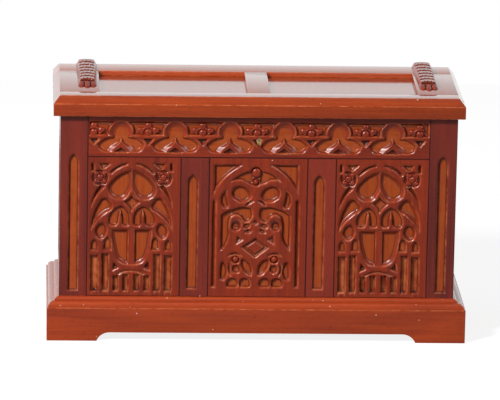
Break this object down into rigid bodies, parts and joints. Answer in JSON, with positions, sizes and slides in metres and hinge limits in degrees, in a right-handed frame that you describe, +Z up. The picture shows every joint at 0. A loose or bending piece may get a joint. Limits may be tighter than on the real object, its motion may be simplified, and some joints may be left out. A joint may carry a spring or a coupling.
{
  "type": "carved donation chest",
  "caption": "Table-top Gothic donation chest of mahogany: bracket plinth, tracery frieze and panels, hinged panelled lid with money slots behind its front rail, and an inside box lock.",
  "frame": {"origin": "on the floor, below the middle of the plinth", "axes": "+X to the right seen from the front, +Y from front to back, +Z up"},
  "size_m": [0.42, 0.168, 0.2555],
  "materials": {
    "mahogany_carved": "red-brown mahogany, carved and lacquered, brighter in the hollows",
    "mahogany_frame": "red-brown mahogany, lacquered",
    "mahogany_lid": "orange-brown mahogany, glossy lacquer",
    "mahogany_base": "red-brown mahogany, lacquered",
    "mahogany_plain": "red-brown mahogany, lacquered outside and oiled inside",
    "brass": "aged solid brass",
    "lock_steel": "plain steel",
    "baize": "green wool baize, glued down"
  },
  "bodies": {
    "carcase": {"back_bottom_rail": "mahogany_plain", "back_left_post": "mahogany_plain", "back_panel": "mahogany_plain", "back_right_post": "mahogany_plain", "back_top_rail": "mahogany_plain", "baize_lining": "baize", "base_moulding_back": "mahogany_base", "base_moulding_front": "mahogany_base", "base_moulding_left": "mahogany_base", "base_moulding_right": "mahogany_base", "centre_tracery_panel": "mahogany_carved", "floor_board": "mahogany_plain", "foot_blocks": "mahogany_base", "frieze_rail": "mahogany_carved", "front_bottom_rail": "mahogany_frame", "front_left_post": "mahogany_frame", "front_right_post": "mahogany_frame", "hinge_carcase_screws": "brass", "keyhole_bush": "brass", "left_end_bottom_rail": "mahogany_plain", "left_end_panel": "mahogany_plain", "left_end_top_rail": "mahogany_plain", "left_hinge_carcase_leaf": "brass", "left_hinge_pin": "brass", "left_muntin": "mahogany_frame", "left_tracery_panel": "mahogany_carved", "lock_cap": "lock_steel", "lock_case": "lock_steel", "lock_screws": "lock_steel", "plinth_back": "mahogany_base", "plinth_front": "mahogany_base", "plinth_left": "mahogany_base", "plinth_right": "mahogany_base", "right_end_bottom_rail": "mahogany_plain", "right_end_panel": "mahogany_plain", "right_end_top_rail": "mahogany_plain", "right_hinge_carcase_leaf": "brass", "right_hinge_pin": "brass", "right_muntin": "mahogany_frame", "right_tracery_panel": "mahogany_carved"},
    "lid": {"hinge_lid_screws": "brass", "left_hinge_lid_leaf": "brass", "left_leaf_carving": "mahogany_carved", "left_slot_plate": "brass", "lid_back_rail": "mahogany_lid", "lid_front_rail": "mahogany_lid", "lid_left_panel": "mahogany_lid", "lid_left_stile": "mahogany_lid", "lid_muntin": "mahogany_lid", "lid_right_panel": "mahogany_lid", "lid_right_stile": "mahogany_lid", "link_plate": "lock_steel", "link_plate_screws": "lock_steel", "right_hinge_lid_leaf": "brass", "right_leaf_carving": "mahogany_carved", "right_slot_plate": "brass", "slot_plate_screws": "brass"},
    "lock_bolt": {"lock_bolt": "lock_steel"},
    "lock_barrel": {"lock_barrel": "lock_steel"}
  },
  "joints": [
    {"name": "lid_hinge", "type": "hinge", "parent": "carcase", "child": "lid", "pos_m": [0, 0.07344, 0.2295], "axis": [-1, 0, 0], "range_deg": [0, 103]},
    {"name": "lock_turn", "type": "hinge", "parent": "carcase", "child": "lock_barrel", "pos_m": [0, -0.058, 0.204], "axis": [0, 1, 0], "range_deg": [0, 90]},
    {"name": "bolt_throw", "type": "slide", "parent": "carcase", "child": "lock_bolt", "axis": [1, 0, 0], "range_m": [0, 0.008]}
  ],
  "couplings": [
    {"joint": "lock_turn", "follows": "bolt_throw", "rad_per_m": 196.35}
  ]
}
